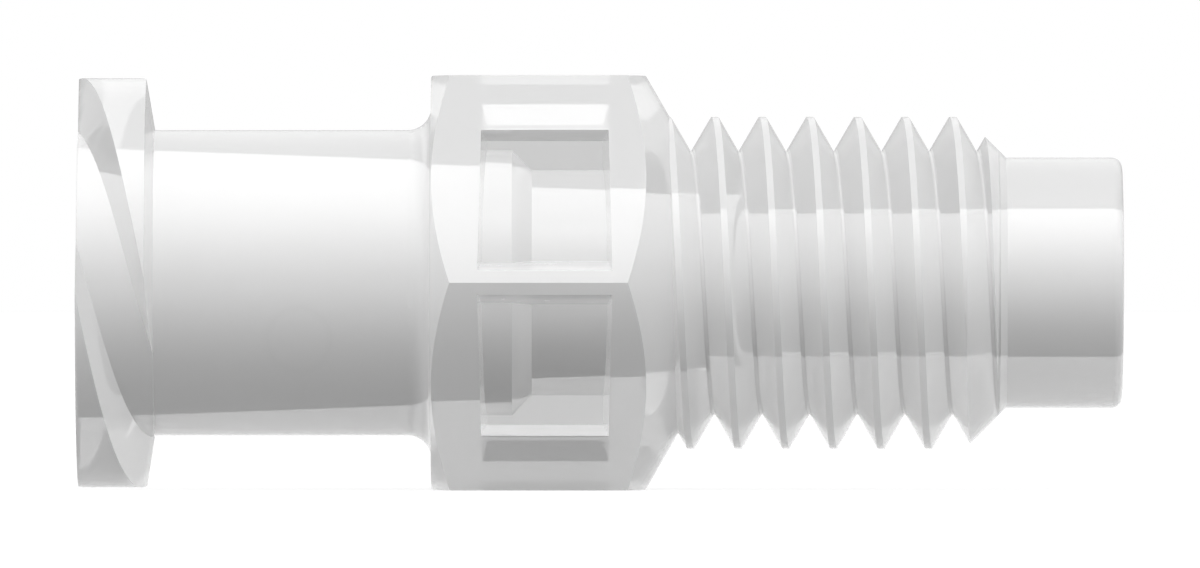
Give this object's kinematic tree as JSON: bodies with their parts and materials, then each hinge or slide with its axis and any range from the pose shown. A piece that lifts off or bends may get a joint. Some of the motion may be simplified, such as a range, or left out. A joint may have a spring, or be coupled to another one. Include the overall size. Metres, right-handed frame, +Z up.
{
  "type": "luer fitting",
  "caption": "Straight moulded adapter: female luer lock socket with a ridged collar, wrench hexagon with cored pockets, and a male threaded end with a plain nose.",
  "frame": {"origin": "centre of the luer mouth, on the collar's end face", "axes": "+X along the axis towards the nose, +Z up, square to the hexagon's top flat, pockets open to -Y and +Y"},
  "size_m": [0.0199, 0.009, 0.0078],
  "materials": {
    "natural_plastic": "smooth, uncoloured, cloudy and slightly see-through polypropylene"
  },
  "bodies": {
    "root": {"luer_fitting": "natural_plastic"}
  },
  "joints": []
}
